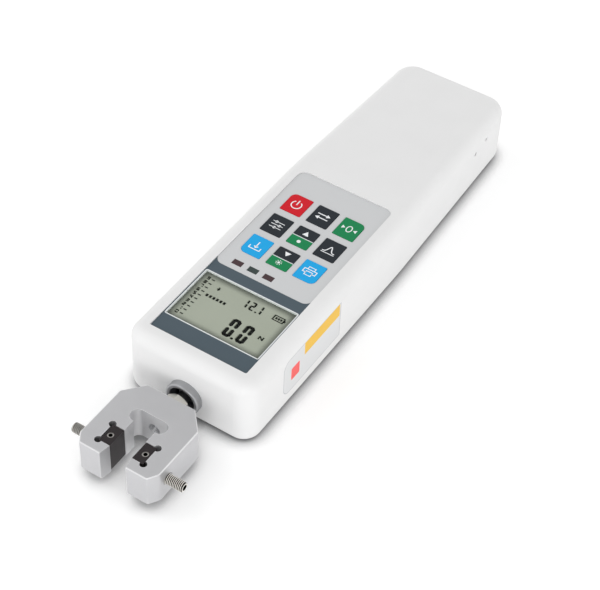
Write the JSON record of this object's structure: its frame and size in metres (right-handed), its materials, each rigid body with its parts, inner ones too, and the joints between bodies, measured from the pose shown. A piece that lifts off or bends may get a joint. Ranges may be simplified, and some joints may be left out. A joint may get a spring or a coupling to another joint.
{
  "type": "digital force gauge",
  "caption": "Hand-held digital force gauge: white case with display and keypad, and a measuring rod that carries a small clamp with screw-driven jaws.",
  "frame": {"origin": "centre of the four threaded mounting holes, on the flat back", "axes": "+Z out of the back towards the display; +Y from the measuring rod towards the grip end, the longest way; +X to the right of someone who reads the display"},
  "size_m": [0.066, 0.2878, 0.036],
  "materials": {
    "housing": "fine textured semi-matt white",
    "screw_steel": "zinc plated",
    "brass": "machined",
    "dark_panel": "satin printed film",
    "window": "clear",
    "lcd": "liquid crystal cell",
    "diffuser": "milky",
    "panel_grey": "satin printed film",
    "key_blue": "satin printed film",
    "key_dark": "satin printed film",
    "key_red": "satin printed film",
    "key_green": "satin printed film",
    "spring_steel": "bright",
    "lens_red": "tinted",
    "lens_green": "tinted",
    "board": "solder resist",
    "rod_steel": "machined",
    "nickel": "nickel plated",
    "bare_aluminium": "milled",
    "clamp_aluminium": "bead blasted, anodised",
    "jaw_steel": "blackened steel",
    "black_steel": "black oxide",
    "battery_wrap": "shrink sleeve",
    "black_plastic": "moulded"
  },
  "bodies": {
    "housing": {"top_shell": "housing", "rear_cover": "housing", "case_screws": "screw_steel", "stand_inserts": "brass", "display_frame": "dark_panel", "display_window": "window", "lcd_cell": "lcd", "backlight_panel": "diffuser", "keypad_overlay": "panel_grey", "key_domes": "spring_steel", "lamp_lens_low": "lens_red", "lamp_lens_good": "lens_green", "lamp_lens_high": "lens_red", "status_leds": "diffuser", "main_board": "board", "board_screws": "screw_steel", "collar_bush": "rod_steel", "load_cell": "bare_aluminium", "cell_bracket": "bare_aluminium", "cell_bolt": "screw_steel", "bracket_screws": "screw_steel", "battery_cells": "battery_wrap", "socket_board": "board", "socket_board_screws": "screw_steel", "data_socket": "nickel", "power_socket": "black_plastic"},
    "rod": {"measuring_rod": "rod_steel", "lock_nut": "nickel", "clamp_body": "clamp_aluminium"},
    "jaw_left": {"jaw_left": "jaw_steel", "jaw_pin_left": "black_steel"},
    "jaw_right": {"jaw_right": "jaw_steel", "jaw_pin_right": "black_steel"},
    "clamp_screw_left": {"clamp_screw_left": "nickel"},
    "clamp_screw_right": {"clamp_screw_right": "nickel"},
    "key_memory": {"key_memory": "key_blue"},
    "key_down": {"key_down": "key_dark"},
    "key_print": {"key_print": "key_blue"},
    "key_set": {"key_set": "key_dark"},
    "key_up": {"key_up": "key_dark"},
    "key_peak": {"key_peak": "key_dark"},
    "key_power": {"key_power": "key_red"},
    "key_unit": {"key_unit": "key_dark"},
    "key_zero": {"key_zero": "key_green"}
  },
  "joints": [
    {"name": "press_memory", "type": "slide", "parent": "housing", "child": "key_memory", "axis": [0, 0, -1], "range_m": [0, 0.0004], "stiffness_N_per_m": 6000, "springref_m": -0.0001},
    {"name": "press_down", "type": "slide", "parent": "housing", "child": "key_down", "axis": [0, 0, -1], "range_m": [0, 0.0004], "stiffness_N_per_m": 6000, "springref_m": -0.0001},
    {"name": "press_print", "type": "slide", "parent": "housing", "child": "key_print", "axis": [0, 0, -1], "range_m": [0, 0.0004], "stiffness_N_per_m": 6000, "springref_m": -0.0001},
    {"name": "press_set", "type": "slide", "parent": "housing", "child": "key_set", "axis": [0, 0, -1], "range_m": [0, 0.0004], "stiffness_N_per_m": 6000, "springref_m": -0.0001},
    {"name": "press_up", "type": "slide", "parent": "housing", "child": "key_up", "axis": [0, 0, -1], "range_m": [0, 0.0004], "stiffness_N_per_m": 6000, "springref_m": -0.0001},
    {"name": "press_peak", "type": "slide", "parent": "housing", "child": "key_peak", "axis": [0, 0, -1], "range_m": [0, 0.0004], "stiffness_N_per_m": 6000, "springref_m": -0.0001},
    {"name": "press_power", "type": "slide", "parent": "housing", "child": "key_power", "axis": [0, 0, -1], "range_m": [0, 0.0004], "stiffness_N_per_m": 6000, "springref_m": -0.0001},
    {"name": "press_unit", "type": "slide", "parent": "housing", "child": "key_unit", "axis": [0, 0, -1], "range_m": [0, 0.0004], "stiffness_N_per_m": 6000, "springref_m": -0.0001},
    {"name": "press_zero", "type": "slide", "parent": "housing", "child": "key_zero", "axis": [0, 0, -1], "range_m": [0, 0.0004], "stiffness_N_per_m": 6000, "springref_m": -0.0001},
    {"name": "rod_flex", "type": "slide", "parent": "housing", "child": "rod", "axis": [0, 1, 0], "range_m": [-0.00025, 0.00025], "stiffness_N_per_m": 40000},
    {"name": "jaw_left_slide", "type": "slide", "parent": "rod", "child": "jaw_left", "axis": [1, 0, 0], "range_m": [0, 0.004]},
    {"name": "screw_left_turn", "type": "hinge", "parent": "jaw_left", "child": "clamp_screw_left", "pos_m": [-0.02, -0.1592, 0.014], "axis": [1, 0, 0], "range_deg": [0, 1800]},
    {"name": "jaw_right_slide", "type": "slide", "parent": "rod", "child": "jaw_right", "axis": [-1, 0, 0], "range_m": [0, 0.004]},
    {"name": "screw_right_turn", "type": "hinge", "parent": "jaw_right", "child": "clamp_screw_right", "pos_m": [0.02, -0.1592, 0.014], "axis": [-1, 0, 0], "range_deg": [0, 1800]}
  ],
  "couplings": [
    {"joint": "screw_left_turn", "follows": "jaw_left_slide", "rad_per_m": 7854},
    {"joint": "screw_right_turn", "follows": "jaw_right_slide", "rad_per_m": 7854}
  ]
}
